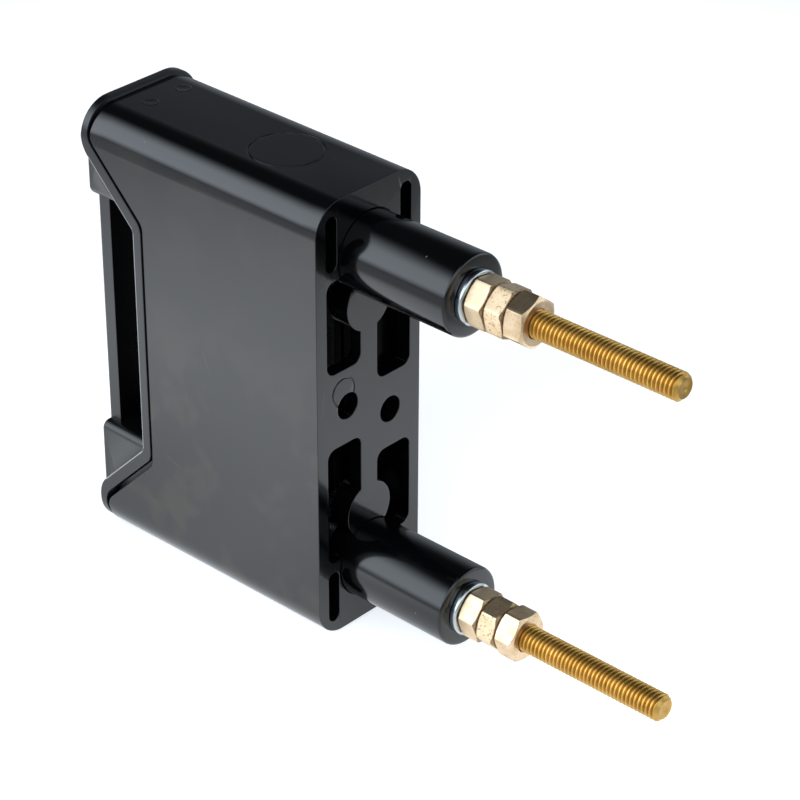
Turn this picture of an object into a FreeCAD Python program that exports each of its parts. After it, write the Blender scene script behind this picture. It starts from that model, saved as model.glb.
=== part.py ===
import FreeCAD, Part
import math
import os
import Sketcher
from FreeCAD import Placement, Rotation, Vector

# Back-stud-connected fuse holder: a housing with two insulated studs out of its back,
# and a pull-out carrier that holds a bolted fuse link between two contact blades.
# The origin is the centre of the mounting face. +Y points out of the back, along the studs,
# and the carrier pulls out along -Y. A depth is measured from the mounting face towards -Y.

os.makedirs("parts", exist_ok=True)
doc = FreeCAD.newDocument("fuse_holder")

# Driving dimensions, in millimetres unless the line says otherwise
SIZES = [
    # housing
    ("body_height", 104.0, "top to bottom"),
    ("body_width", 31.2, "side to side"),
    ("corner_radius", 7.2, "rounding of the four long edges"),
    ("mouth_depth", 66.15, "mounting face to the mouth at the ends"),
    ("draft", 0.3, "degrees that the outside opens towards the mouth"),
    ("side_wall", 2.7, "side and end walls"),
    ("back_wall", 3.2, "wall with the mounting face"),
    ("notch_depth", 50.8, "mounting face to the floor of the side notch"),
    ("mouth_margin", 6.85, "end of the housing to the edge of the notch at the mouth, without the rise"),
    ("notch_rise", 0.8, "middle of the notch above the middle of the housing"),
    ("notch_round", 3.0, "rounding in the corners of the notch"),
    ("mouth_round", 4.0, "rounding where the notch's slanted sides meet the mouth"),
    ("flare", 1.0, "rise of the notch's slanted sides for each millimetre of depth"),
    # openings in the mounting wall
    ("window_near", 2.5, "window edge beside the middle web"),
    ("window_far", 12.5, "window edge beside the side wall"),
    ("window_stud", 3.3, "end of every window, short of the stud axis"),
    ("short_window_foot", 12.3, "other end of the short windows"),
    ("long_window_foot", 5.7, "other end of the long windows"),
    ("window_round", 2.2, "rounding of the windows' corners"),
    ("pad_stud", 12.0, "middle of the round pad between two windows, short of the stud axis"),
    ("pad_diameter", 13.0, "round pad between two windows"),
    ("fixing_hole", 6.0, "hole for a panel screw"),
    ("fixing_side", 6.45, "panel screw hole, sideways from the middle"),
    ("fixing_rise", 3.2, "panel screw hole, up from the middle"),
    ("slot_width", 3.2, "slot beside each stud"),
    ("slot_side", 11.0, "middle of the slot, sideways"),
    ("slot_foot", 0.9, "near end of the slot, short of the stud axis"),
    ("slot_top", 11.5, "far end of the slot, past the stud axis"),
    # shallow mould marks
    ("mark_depth", 0.2, "depth of the ring marks"),
    ("mark_line", 0.35, "width of a ring mark's line"),
    ("gate_ring", 16.3, "large ring on the top face"),
    ("gate_ring_depth", 23.0, "middle of the large ring from the mounting face"),
    ("ejector_ring", 6.8, "ring on the mounting face"),
    # studs and what is threaded on them
    ("stud_margin", 14.7, "housing's end to the stud axis"),
    ("stud_diameter", 6.0, "thread of the studs"),
    ("stud_reach", 81.0, "mounting face to stud tip"),
    ("thread_length", 54.0, "threaded end of the stud"),
    ("shank_diameter", 5.3, "plain shank of the stud, as thick as a rolled thread's blank"),
    ("tip_bevel", 0.9, "bevel on a thread's end"),
    ("shroud_diameter", 18.0, "insulating tube round the stud"),
    ("shroud_length", 28.4, "mounting face to the tube's end"),
    ("shroud_seat", 1.2, "depth of the recess that the tube stands in"),
    ("shroud_room", 0.1, "clearance round the tube in its recess"),
    ("shroud_bevel", 0.6, "bevel of the tube's outer end"),
    ("stud_room", 0.2, "clearance round the stud in tube, washer and wall"),
    ("boss_height", 2.1, "inside boss that the contact sits on"),
    ("boss_narrow", 1.0, "how much narrower the boss is than the tube"),
    ("washer_diameter", 12.0, "plain washer"),
    ("washer_thickness", 1.6, "plain washer"),
    ("hex_flats", 10.0, "across the flats of stud head and nuts"),
    ("nut_height", 5.0, "stud nut"),
    ("head_height", 4.0, "stud head"),
    ("thread_room", 0.05, "clearance between a nut and its thread"),
    # fixed contacts
    ("blade_width", 10.0, "width of the contact strips"),
    ("blade_sheet", 1.6, "thickness of the carrier's blades"),
    ("jaw_sheet", 1.0, "thickness of the fixed contacts"),
    ("spring_sheet", 0.8, "thickness of the steel springs"),
    ("contact_gap", 0.05, "clearance of a blade between the jaws"),
    ("spring_room", 0.05, "clearance between a contact and its spring"),
    ("spring_short", 1.8, "how far the springs stop short of the pinch"),
    ("jaw_half", 6.7, "half the inside width of the contact at its foot"),
    ("jaw_shoulder", 7.0, "height of the contact's straight sides above its foot"),
    ("jaw_pinch", 14.5, "height of the pinch above the foot"),
    ("jaw_mouth", 19.5, "height of the flared mouth above the foot"),
    ("jaw_flare", 2.6, "how far each lip of the mouth opens"),
    ("jaw_bend", 2.0, "inside bend radius at shoulder and pinch"),
    ("foot_bend", 1.5, "inside bend radius at the foot"),
    # carrier moulding
    ("carrier_high", 0.7, "how far the flange sits above the middle in its play"),
    ("skirt_room", 0.4, "clearance between the carrier's skirt and the side walls"),
    ("skirt_end_room", 0.7, "clearance between the skirt and the end walls"),
    ("skirt_depth", 20.0, "mounting face to the skirt's open end"),
    ("skirt_wall", 2.4, "skirt walls"),
    ("grip_proud", 4.85, "front of the grip bar in front of the mouth"),
    ("front_wall", 2.6, "front wall of the two end blocks"),
    ("bar_thickness", 3.7, "grip bar, front to back"),
    ("bar_half", 10.0, "half width of the grip bar"),
    ("web_width", 7.0, "web behind the grip bar"),
    ("recess_margin", 1.2, "corner of the notch floor to the end of the finger recess"),
    ("block_round", 2.0, "rounding of the end blocks beside the grip bar"),
    ("front_round", 0.8, "rounding of the front edges"),
    ("flange_proud", 0.65, "how far the flange stands out past the housing"),
    ("floor_gap", 0.15, "gap between flange and notch floor"),
    ("end_gap", 0.3, "gap between flange and mouth at the ends"),
    ("slant_gap", 1.2, "gap between flange and slanted sides, measured upright"),
    ("flange_thickness", 2.35, "flange over the notch floor"),
    ("flange_end", 1.85, "flange over the mouth's ends"),
    ("flange_slant", 3.85, "flange over the slanted sides, measured upright"),
    ("flange_bend", 6.8, "rounding where slanted and end parts of the flange meet"),
    # contact seats in the carrier
    ("seat_depth", 37.0, "mounting face to the seats of the blades"),
    ("seat_foot", 3.85, "inner end of a seat, short of the clamping screw"),
    ("seat_top", 1.7, "outer end of a seat, past the stud axis"),
    ("blade_depth", 12.5, "mounting face to a blade's tip"),
    ("blade_bend", 0.8, "inside bend radius of a blade"),
    ("blade_lead", 0.4, "lead-in bevel of a blade"),
    ("blade_screw_inset", 5.3, "screw that holds a blade, short of the stud axis"),
    ("blade_screw", 4.0, "thread of the blade's screw"),
    ("blade_screw_head", 7.0, "head of the blade's screw"),
    ("blade_head_height", 2.4, "head of the blade's screw"),
    ("blade_screw_length", 11.0, "shank of the blade's screw"),
    ("clamp_screw", 5.0, "thread of the fuse clamping screw"),
    ("clamp_head", 8.5, "head of the clamping screw"),
    ("clamp_head_height", 3.3, "head of the clamping screw"),
    ("clamp_length", 14.0, "shank of the clamping screw"),
    ("driver_slot", 1.2, "width of a screwdriver slot"),
    ("spring_washer", 1.2, "thickness of the spring washer"),
    ("spring_washer_width", 8.8, "outside of the spring washer"),
    ("captive_flats", 8.0, "across the flats of the captive nut"),
    ("captive_height", 4.0, "captive nut"),
    ("captive_room", 0.1, "clearance round the captive nut"),
    ("screw_room", 0.2, "clearance round a screw"),
    # fuse link
    ("fuse_depth", 29.5, "mounting face to the fuse link's axis"),
    ("clamp_inset", 15.05, "fixing hole of the fuse link, short of the stud axis"),
    ("cap_diameter", 14.0, "end cap"),
    ("cap_height", 7.5, "end cap"),
    ("cap_sheet", 0.5, "end cap"),
    ("cap_inset", 6.25, "face of the end cap, short of the fixing hole"),
    ("barrel_wall", 2.0, "ceramic barrel"),
    ("cap_room", 0.03, "clearance between cap and barrel"),
    ("tag_width", 9.0, "fuse tag"),
    ("tag_sheet", 1.2, "fuse tag"),
    ("tag_reach", 5.75, "end of a tag, past the fixing hole"),
    ("tag_rise", 5.0, "end of a tag's upright above the fuse link's axis"),
    ("element_width", 4.0, "fuse element"),
    ("element_sheet", 0.2, "fuse element"),
    ("element_neck", 1.2, "width and length of the narrow necks of the fuse element"),
]


class Size:
    """A number together with the formula that the sheet works it out from."""

    def __init__(self, value, formula):
        self.value = float(value)
        self.formula = formula

    def __add__(self, other):
        other = as_size(other)
        return Size(self.value + other.value, "(%s + %s)" % (self.formula, other.formula))

    def __sub__(self, other):
        other = as_size(other)
        return Size(self.value - other.value, "(%s - %s)" % (self.formula, other.formula))

    def __mul__(self, other):
        other = as_size(other)
        return Size(self.value * other.value, "(%s * %s)" % (self.formula, other.formula))

    def __truediv__(self, other):
        other = as_size(other)
        return Size(self.value / other.value, "(%s / %s)" % (self.formula, other.formula))

    def __neg__(self):
        return self * -1

    def __rsub__(self, other):
        return as_size(other) - self

    __radd__ = __add__
    __rmul__ = __mul__


def as_size(number):
    """A plain number as a Size."""
    if isinstance(number, Size):
        return number
    return Size(number, "(%s)" % float(number))


def fill_sheet():
    """Write the driving dimensions into a sheet, one named cell each."""
    sheet = doc.addObject("Spreadsheet::Sheet", "sizes")
    for line, (name, value, meaning) in enumerate(SIZES, start=1):
        sheet.set("A%d" % line, name)
        sheet.set("B%d" % line, str(value))
        sheet.set("C%d" % line, meaning)
        sheet.setAlias("B%d" % line, name)
    doc.recompute()
    return {name: Size(sheet.get(name), "sizes." + name) for name, _, _ in SIZES}


mm = fill_sheet()

# Places that several pieces share
half_width = mm["body_width"] / 2
half_height = mm["body_height"] / 2
stud_up = half_height - mm["stud_margin"]
boss_top = mm["back_wall"] + mm["boss_height"]
jaw_foot = boss_top + mm["spring_sheet"] + mm["spring_room"]
head_seat = jaw_foot + mm["jaw_sheet"]
skirt_half_width = half_width - mm["side_wall"] - mm["skirt_room"]
skirt_half_height = half_height - mm["side_wall"] - mm["skirt_end_room"]
inner_half_width = skirt_half_width - mm["skirt_wall"]
inner_half_height = skirt_half_height - mm["skirt_wall"]
floor_back = mm["notch_depth"] + mm["floor_gap"]
floor_front = floor_back + mm["flange_thickness"]
grip_depth = mm["mouth_depth"] + mm["grip_proud"]
bar_back = grip_depth - mm["bar_thickness"]
mouth_half = half_height - mm["mouth_margin"]
notch_half = mouth_half - (mm["mouth_depth"] - mm["notch_depth"]) * mm["flare"]
recess_half = notch_half - mm["recess_margin"]
recess_middle = mm["notch_rise"] + mm["carrier_high"]
block_front = grip_depth - mm["front_wall"]
tag_seat = mm["seat_depth"] - mm["blade_sheet"]
tag_top = tag_seat - mm["tag_sheet"]
clamp_seat = tag_top - mm["spring_washer"]
clamp_up = stud_up - mm["clamp_inset"]
seat_foot = clamp_up - mm["seat_foot"]
seat_top = stud_up + mm["seat_top"]
blade_screw_up = stud_up - mm["blade_screw_inset"]
cap_end = clamp_up - mm["cap_inset"]
cap_start = cap_end - mm["cap_height"]
hole_half = mm["stud_diameter"] / 2 + mm["stud_room"]


def bind(thing, prop, size):
    """Tie one property of an object to its formula."""
    thing.setExpression(prop, as_size(size).formula)


def new_body(label):
    """Start a sub-part."""
    body = doc.addObject("PartDesign::Body", label)
    body.Label = label
    return body


def new_sketch(body, name, plane, height=0):
    """Sketch on an origin plane, moved along that plane's normal. XZ looks along +Y, so height is a depth."""
    sketch = body.newObject("Sketcher::SketchObject", name)
    for feature in body.Origin.OriginFeatures:
        if feature.Role == plane + "_Plane":
            sketch.AttachmentSupport = [(feature, "")]
    sketch.MapMode = "FlatFace"
    sketch.AttachmentOffset = Placement(Vector(0, 0, as_size(height).value), Rotation())
    bind(sketch, "AttachmentOffset.Base.z", height)
    return sketch


def hold(sketch, kind, size, *where):
    """Add a dimension and tie it to its formula."""
    size = as_size(size)
    number = sketch.addConstraint(Sketcher.Constraint(kind, *where, size.value))
    sketch.setExpression("Constraints[%d]" % number, size.formula)


def pin_point(sketch, shape, end, x, y):
    """Place a point of the sketch by its two distances from the sketch's origin."""
    hold(sketch, "DistanceX", x, -1, 1, shape, end)
    hold(sketch, "DistanceY", y, -1, 1, shape, end)


def rounding(before, corner, after, radius):
    """Where a rounded corner starts and stops, and the middle of its arc."""
    back = (before - corner).normalize()
    ahead = (after - corner).normalize()
    half = back.getAngle(ahead) / 2
    reach = radius / math.tan(half)
    middle = corner + (back + ahead).normalize() * (radius / math.sin(half))
    return corner + back * reach, corner + ahead * reach, middle


def draw_line(sketch, corners, closed=True):
    """Straight sides through the corners; a third number rounds a corner."""
    count = len(corners)
    spots = [Vector(as_size(c[0]).value, as_size(c[1]).value, 0) for c in corners]
    ends = []
    for i, corner in enumerate(corners):
        if len(corner) < 3:
            ends.append((spots[i], spots[i], None))
        else:
            ends.append(rounding(spots[i - 1], spots[i], spots[(i + 1) % count], as_size(corner[2]).value))
    sides = []
    for i in range(count if closed else count - 1):
        side = Part.LineSegment(ends[i][1], ends[(i + 1) % count][0])
        sides.append(sketch.addGeometry(side))
    if not closed:
        pin_point(sketch, sides[0], 1, corners[0][0], corners[0][1])
        pin_point(sketch, sides[-1], 2, corners[-1][0], corners[-1][1])
    for i in range(count) if closed else range(1, count - 1):
        before, after = sides[i - 1], sides[i]
        if len(corners[i]) < 3:
            sketch.addConstraint(Sketcher.Constraint("Coincident", before, 2, after, 1))
            pin_point(sketch, after, 1, corners[i][0], corners[i][1])
            continue
        start, stop, middle = ends[i]
        turn = (spots[i] - spots[i - 1]).cross(spots[(i + 1) % count] - spots[i]).z
        first, last = (1, 2) if turn > 0 else (2, 1)
        low, high = (start, stop) if turn > 0 else (stop, start)
        low_angle = math.atan2(low.y - middle.y, low.x - middle.x)
        high_angle = math.atan2(high.y - middle.y, high.x - middle.x)
        if high_angle < low_angle:
            high_angle += 2 * math.pi
        circle = Part.Circle(middle, Vector(0, 0, 1), as_size(corners[i][2]).value)
        arc = sketch.addGeometry(Part.ArcOfCircle(circle, low_angle, high_angle))
        sketch.addConstraint(Sketcher.Constraint("Tangent", before, 2, arc, first))
        sketch.addConstraint(Sketcher.Constraint("Tangent", arc, last, after, 1))
        hold(sketch, "Radius", corners[i][2], arc)
        spot = sketch.addGeometry(Part.Point(spots[i]), True)
        sketch.addConstraint(Sketcher.Constraint("PointOnObject", spot, 1, before))
        sketch.addConstraint(Sketcher.Constraint("PointOnObject", spot, 1, after))
        pin_point(sketch, spot, 1, corners[i][0], corners[i][1])


def draw_box(sketch, low_x, low_y, high_x, high_y, radius=None):
    """Rectangle, with its corners rounded if a radius is given."""
    corners = [(low_x, low_y), (high_x, low_y), (high_x, high_y), (low_x, high_y)]
    if radius is not None:
        corners = [(x, y, radius) for x, y in corners]
    draw_line(sketch, corners)


def draw_circle(sketch, x, y, diameter):
    """Circle with its centre placed."""
    centre = Vector(as_size(x).value, as_size(y).value, 0)
    circle = sketch.addGeometry(Part.Circle(centre, Vector(0, 0, 1), as_size(diameter).value / 2))
    hold(sketch, "Radius", as_size(diameter) / 2, circle)
    pin_point(sketch, circle, 3, x, y)


def draw_ring(sketch, x, y, diameter, line):
    """Two circles that leave a narrow ring between them."""
    draw_circle(sketch, x, y, diameter)
    draw_circle(sketch, x, y, diameter - line * 2)


def draw_slot(sketch, x, low_y, high_y, width):
    """Upright slot with round ends."""
    radius = as_size(width) / 2
    x, low_y, high_y = as_size(x), as_size(low_y), as_size(high_y)
    low_middle = Vector(x.value, low_y.value + radius.value, 0)
    high_middle = Vector(x.value, high_y.value - radius.value, 0)
    side = Vector(radius.value, 0, 0)
    right = sketch.addGeometry(Part.LineSegment(low_middle + side, high_middle + side))
    left = sketch.addGeometry(Part.LineSegment(high_middle - side, low_middle - side))
    top_circle = Part.Circle(high_middle, Vector(0, 0, 1), radius.value)
    top = sketch.addGeometry(Part.ArcOfCircle(top_circle, 0, math.pi))
    foot_circle = Part.Circle(low_middle, Vector(0, 0, 1), radius.value)
    foot = sketch.addGeometry(Part.ArcOfCircle(foot_circle, math.pi, 2 * math.pi))
    sketch.addConstraint(Sketcher.Constraint("Tangent", right, 2, top, 1))
    sketch.addConstraint(Sketcher.Constraint("Tangent", top, 2, left, 1))
    sketch.addConstraint(Sketcher.Constraint("Tangent", left, 2, foot, 1))
    sketch.addConstraint(Sketcher.Constraint("Tangent", foot, 2, right, 1))
    pin_point(sketch, top, 3, x, high_y - radius)
    pin_point(sketch, foot, 3, x, low_y + radius)
    hold(sketch, "Radius", radius, top)


def hex_corners(across_flats, x=0, y=0):
    """Corners of a hexagon with two flats facing up and down."""
    apothem = as_size(across_flats) / 2
    reach = apothem / math.cos(math.pi / 6)
    corners = []
    for turn in range(6):
        angle = turn * math.pi / 3
        corners.append((reach * math.cos(angle) + x, reach * math.sin(angle) + y))
    return corners


def extrude(kind, body, sketch, length=None, backwards=False, both=False):
    """Pad or pocket of a sketch. With no length, a pocket goes through everything."""
    feature = body.newObject("PartDesign::" + kind, sketch.Name + "_" + kind.lower())
    feature.Profile = sketch
    feature.Reversed = backwards
    if both:
        feature.SideType = "Symmetric"
    if length is None:
        feature.Type = "ThroughAll"
    else:
        feature.Length = as_size(length).value
        bind(feature, "Length", length)
    body.Tip = feature
    doc.recompute()
    return feature


def pad(body, sketch, length, backwards=False, both=False):
    """Add material. On an XZ sketch it grows towards the front, or backwards towards the studs."""
    return extrude("Pad", body, sketch, length, backwards, both)


def pocket(body, sketch, length=None, backwards=False, both=False):
    """Cut material, and make sure that something was cut."""
    before = body.Shape.Volume
    feature = extrude("Pocket", body, sketch, length, backwards, both)
    if feature.Shape.Volume >= before:
        raise RuntimeError(sketch.Name + " cuts nothing")
    return feature


def edges_where(shape, test):
    """Names of the edges whose two ends and middle all pass a test."""
    names = []
    for number, edge in enumerate(shape.Edges, start=1):
        first, last = edge.ParameterRange
        points = [edge.valueAt(first), edge.valueAt((first + last) / 2), edge.valueAt(last)]
        if all(test(point) for point in points):
            names.append("Edge%d" % number)
    return names


def ease(kind, body, name, size, test):
    """Fillet or chamfer of the edges that pass a test."""
    base = body.Tip
    names = edges_where(base.Shape, test)
    if not names:
        raise RuntimeError(name + " finds no edge")
    feature = body.newObject("PartDesign::" + kind, name)
    feature.Base = (base, names)
    prop = "Radius" if kind == "Fillet" else "Size"
    setattr(feature, prop, as_size(size).value)
    bind(feature, prop, size)
    body.Tip = feature
    doc.recompute()
    return feature


def near(number, size):
    """Whether a measured number is at a size."""
    return abs(number - as_size(size).value) < 0.01


def put(thing, height=0, turned=False, depth=0):
    """Place a sub-part at a height and a depth, turned half round the stud direction for the lower end."""
    thing.Placement = Placement(Vector(0, 0, 0), Rotation(Vector(0, 1, 0), 180 if turned else 0))
    bind(thing, "Placement.Base.z", height)
    bind(thing, "Placement.Base.y", -as_size(depth))


# Housing


def make_base_moulding():
    """Open box with a notched mouth, and a mounting wall with windows, slots and bosses."""
    body = new_body("base_moulding")
    outside = new_sketch(body, "outside", "XZ")
    draw_box(outside, -half_width, -half_height, half_width, half_height, mm["corner_radius"])
    block = pad(body, outside, mm["mouth_depth"])
    block.TaperAngle = mm["draft"].value
    bind(block, "TaperAngle", mm["draft"])
    doc.recompute()

    inside = new_sketch(body, "inside", "XZ", mm["back_wall"])
    wide = half_width - mm["side_wall"]
    tall = half_height - mm["side_wall"]
    draw_box(inside, -wide, -tall, wide, tall, mm["corner_radius"] - mm["side_wall"])
    pocket(body, inside, backwards=True)

    notch = new_sketch(body, "notch", "YZ")
    past = mm["mouth_depth"] + 5
    top = mm["notch_rise"] + notch_half
    foot = mm["notch_rise"] - notch_half
    spread = (past - mm["notch_depth"]) * mm["flare"]
    draw_line(notch, [
        (-mm["notch_depth"], top, mm["notch_round"]),
        (-past, top + spread),
        (-past, foot - spread),
        (-mm["notch_depth"], foot, mm["notch_round"]),
    ])
    pocket(body, notch, both=True)
    ease("Fillet", body, "mouth_corners", mm["mouth_round"],
         lambda p: near(p.y, -mm["mouth_depth"]) and near(abs(p.z - mm["notch_rise"].value), mouth_half))

    cut_mounting_wall(body)
    cut_mould_mark(body)


def cut_mounting_wall(body):
    """Windows, slots and holes of the mounting wall; the pattern repeats half a turn round."""
    openings = new_sketch(body, "openings", "XZ")
    window_top = stud_up - mm["window_stud"]
    for turn in (1, -1):
        for low, high in ((mm["short_window_foot"], window_top), (-window_top, -mm["long_window_foot"])):
            corners = [(mm["window_near"], low), (mm["window_far"], low), (mm["window_far"], high)]
            corners.append((mm["window_near"], high))
            draw_line(openings, [(x * turn, z * turn, mm["window_round"]) for x, z in corners])
        for side in (1, -1):
            near_end = (stud_up - mm["slot_foot"]) * turn
            far_end = (stud_up + mm["slot_top"]) * turn
            low, high = (near_end, far_end) if turn > 0 else (far_end, near_end)
            draw_slot(openings, mm["slot_side"] * side, low, high, mm["slot_width"])
    pocket(body, openings, mm["back_wall"] + 1, backwards=True)

    pads = new_sketch(body, "pads", "XZ")
    bosses = new_sketch(body, "bosses", "XZ", mm["shroud_seat"])
    seats = new_sketch(body, "shroud_seats", "XZ")
    for turn in (1, -1):
        draw_circle(pads, 0, (stud_up - mm["pad_stud"]) * turn, mm["pad_diameter"])
        draw_circle(bosses, 0, stud_up * turn, mm["shroud_diameter"] - mm["boss_narrow"])
        draw_circle(seats, 0, stud_up * turn, mm["shroud_diameter"] + mm["shroud_room"] * 2)
    pad(body, pads, boss_top)
    pad(body, bosses, boss_top - mm["shroud_seat"])
    pocket(body, seats, mm["shroud_seat"], backwards=True)

    ring = new_sketch(body, "ejector_mark", "XZ")
    draw_ring(ring, mm["fixing_side"] * 1.2, mm["fixing_rise"] * 2.2, mm["ejector_ring"], mm["mark_line"])
    pocket(body, ring, mm["mark_depth"], backwards=True)

    holes = new_sketch(body, "holes", "XZ")
    for turn in (1, -1):
        draw_circle(holes, 0, stud_up * turn, hole_half * 2)
        draw_circle(holes, mm["fixing_side"] * turn, mm["fixing_rise"] * turn, mm["fixing_hole"])
    pocket(body, holes, boss_top + 1, backwards=True)


def cut_mould_mark(body):
    """Shallow ring that the mould leaves on the top face."""
    mark = new_sketch(body, "top_mark", "XY", half_height + 2)
    draw_ring(mark, 0, -mm["gate_ring_depth"], mm["gate_ring"], mm["mark_line"])
    pocket(body, mark, mm["mark_depth"] + 2)


# Studs, their insulating tubes and what is threaded on them


def make_tube(label, start, length, outside, bore, up):
    """Plain round tube or washer on a stud's axis, from a start behind the mounting face."""
    body = new_body(label)
    ring = new_sketch(body, label + "_ring", "XZ", -start)
    draw_circle(ring, 0, 0, outside)
    draw_circle(ring, 0, 0, bore)
    pad(body, ring, length, backwards=True)
    put(body, up)
    return body


def bevel_corners(body, name, across_flats, low, high):
    """Turn the corners of a hexagon down to a circle at both ends, between two places along +Y."""
    flat = as_size(across_flats) / 2
    rim = flat * 0.95
    clear = flat * 1.3
    drop = (clear - rim) * 0.5
    sketch = new_sketch(body, name, "YZ")
    draw_line(sketch, [(low, rim), (low, clear), (low + drop, clear)])
    draw_line(sketch, [(high, rim), (high - drop, clear), (high, clear)])
    groove = body.newObject("PartDesign::Groove", name + "_groove")
    groove.Profile = sketch
    groove.ReferenceAxis = (sketch, ["H_Axis"])
    groove.Angle = 360
    body.Tip = groove
    doc.recompute()


def make_nut(label, start, height, across_flats, bore, up, bevelled=True):
    """Hexagon nut on a stud's or screw's axis."""
    body = new_body(label)
    sides = new_sketch(body, label + "_sides", "XZ", -as_size(start))
    draw_line(sides, hex_corners(across_flats))
    pad(body, sides, height, backwards=True)
    if bevelled:
        bevel_corners(body, label + "_bevel", across_flats, start, as_size(start) + height)
    hole = new_sketch(body, label + "_bore", "XZ", -as_size(start))
    draw_circle(hole, 0, 0, bore)
    pocket(body, hole, height)
    put(body, up)


def make_stud(label, up):
    """Hexagon-headed stud: the head clamps the contact inside, the thread runs out of the back."""
    body = new_body(label)
    head = new_sketch(body, label + "_head", "XZ", head_seat)
    draw_line(head, hex_corners(mm["hex_flats"]))
    pad(body, head, mm["head_height"])
    shank = new_sketch(body, label + "_shank", "XZ", head_seat + 0.5)
    draw_circle(shank, 0, 0, mm["shank_diameter"])
    pad(body, shank, mm["stud_reach"] + head_seat, backwards=True)
    thread = new_sketch(body, label + "_thread", "XZ", mm["thread_length"] - mm["stud_reach"])
    draw_circle(thread, 0, 0, mm["stud_diameter"])
    pad(body, thread, mm["thread_length"], backwards=True)
    ease("Chamfer", body, label + "_tip", mm["tip_bevel"], lambda p: near(p.y, mm["stud_reach"]))
    put(body, up)


def make_stud_set(end, up):
    """Everything on one stud, from the mounting face outwards."""
    reach = mm["shroud_length"]
    seat = mm["shroud_seat"]
    bore = hole_half * 2
    shroud = make_tube(end + "_stud_shroud", -seat, reach + seat, mm["shroud_diameter"], bore, up)
    ease("Chamfer", shroud, end + "_shroud_edge", mm["shroud_bevel"],
         lambda p: near(p.y, reach) and math.hypot(p.x, p.z) > hole_half.value + 1)
    ease("Chamfer", shroud, end + "_shroud_foot", seat,
         lambda p: near(p.y, -seat) and math.hypot(p.x, p.z) > hole_half.value + 1)
    make_tube(end + "_washer", reach, mm["washer_thickness"], mm["washer_diameter"], bore, up)
    make_stud(end + "_stud", up)
    start = reach + mm["washer_thickness"]
    for name in ("lock_nut", "inner_terminal_nut", "outer_terminal_nut"):
        nut_bore = mm["stud_diameter"] + mm["thread_room"] * 2
        make_nut(end + "_" + name, start, mm["nut_height"], mm["hex_flats"], nut_bore, up)
        start = start + mm["nut_height"]


# Fixed contacts: bent strips, drawn as a line, thickened and pulled sideways


def bent_line(stop_short):
    """Inner line of a lyre-shaped contact, from one leaf over the foot to the other, seen from the side."""
    pinch = mm["blade_sheet"] / 2 + mm["contact_gap"]
    half = mm["jaw_half"]
    bend = mm["jaw_bend"]
    slope = (half - pinch) / (mm["jaw_pinch"] - mm["jaw_shoulder"])
    if stop_short:
        leaf = [(mm["jaw_pinch"] - mm["spring_short"], pinch + slope * mm["spring_short"])]
    else:
        leaf = [(mm["jaw_mouth"], pinch + mm["jaw_flare"]), (mm["jaw_pinch"], pinch, bend)]
    leaf = leaf + [(mm["jaw_shoulder"], half, bend), (mm["jaw_sheet"], half, mm["foot_bend"])]
    upper = [(-(jaw_foot + corner[0]),) + corner[1:] for corner in leaf]
    lower = [(corner[0], -corner[1]) + corner[2:] for corner in upper]
    return lower + upper[::-1]


def offset_line(source, name, distance, filled):
    """Line beside another, or the ribbon between the two, on the outside of the bends."""
    offset = doc.addObject("Part::Offset2D", name)
    offset.Source = source
    offset.Mode = "Skin"
    offset.Fill = filled
    offset.Value = distance.value
    bind(offset, "Value", distance)
    return offset


def make_strip(label, stop_short, behind, sheet, up):
    """Bent strip as wide as a blade, so far behind the inner line, with a hole for the stud in its foot."""
    line = doc.addObject("Sketcher::SketchObject", label + "_line")
    draw_line(line, bent_line(stop_short), closed=False)
    doc.recompute()
    if behind is not None:
        line = offset_line(line, label + "_back", behind, False)
    strip = doc.addObject("Part::Extrusion", label + "_strip")
    strip.Base = offset_line(line, label + "_ribbon", sheet, True)
    strip.DirMode = "Custom"
    strip.Dir = Vector(0, 0, 1)
    strip.Solid = True
    strip.Symmetric = True
    strip.LengthFwd = mm["blade_width"].value
    bind(strip, "LengthFwd", mm["blade_width"])
    drill = doc.addObject("Part::Cylinder", label + "_drill")
    bind(drill, "Radius", hole_half)
    bind(drill, "Height", head_seat + 1)
    drill.Placement = Placement(Vector(0, 0, 0), Rotation(Vector(0, 1, 0), -90))
    contact = doc.addObject("Part::Cut", label)
    contact.Label = label
    contact.Base = strip
    contact.Tool = drill
    contact.Placement = Placement(Vector(0, 0, 0), Rotation(Vector(1, 1, 1), 120))
    bind(contact, "Placement.Base.z", up)
    doc.recompute()


def make_fixed_contact(end, up):
    """Lyre-shaped contact that grips the blade, and the steel spring that backs it."""
    make_strip(end + "_contact_jaw", False, None, mm["jaw_sheet"], up)
    make_strip(end + "_jaw_spring", True, mm["jaw_sheet"] + mm["spring_room"], mm["spring_sheet"], up)


# Carrier


def make_carrier_moulding():
    """Flange that follows the notched mouth, skirt, end blocks and grip bar in one moulding."""
    body = new_body("carrier_moulding")
    make_flange(body)
    make_skirt(body)
    make_grip(body)
    make_contact_seats(body)
    ease("Fillet", body, "block_corners", mm["block_round"], is_block_corner)
    ease("Fillet", body, "front_edges", mm["front_round"], is_front_edge)


def is_block_corner(point):
    """On an edge of the end blocks that runs front to back beside the grip bar."""
    beside = near(abs(point.z - recess_middle.value), recess_half)
    return beside and near(abs(point.x), skirt_half_width) and point.y < -floor_front.value


def is_front_edge(point):
    """On the outline of the front face."""
    return near(point.y, -grip_depth)


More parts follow.
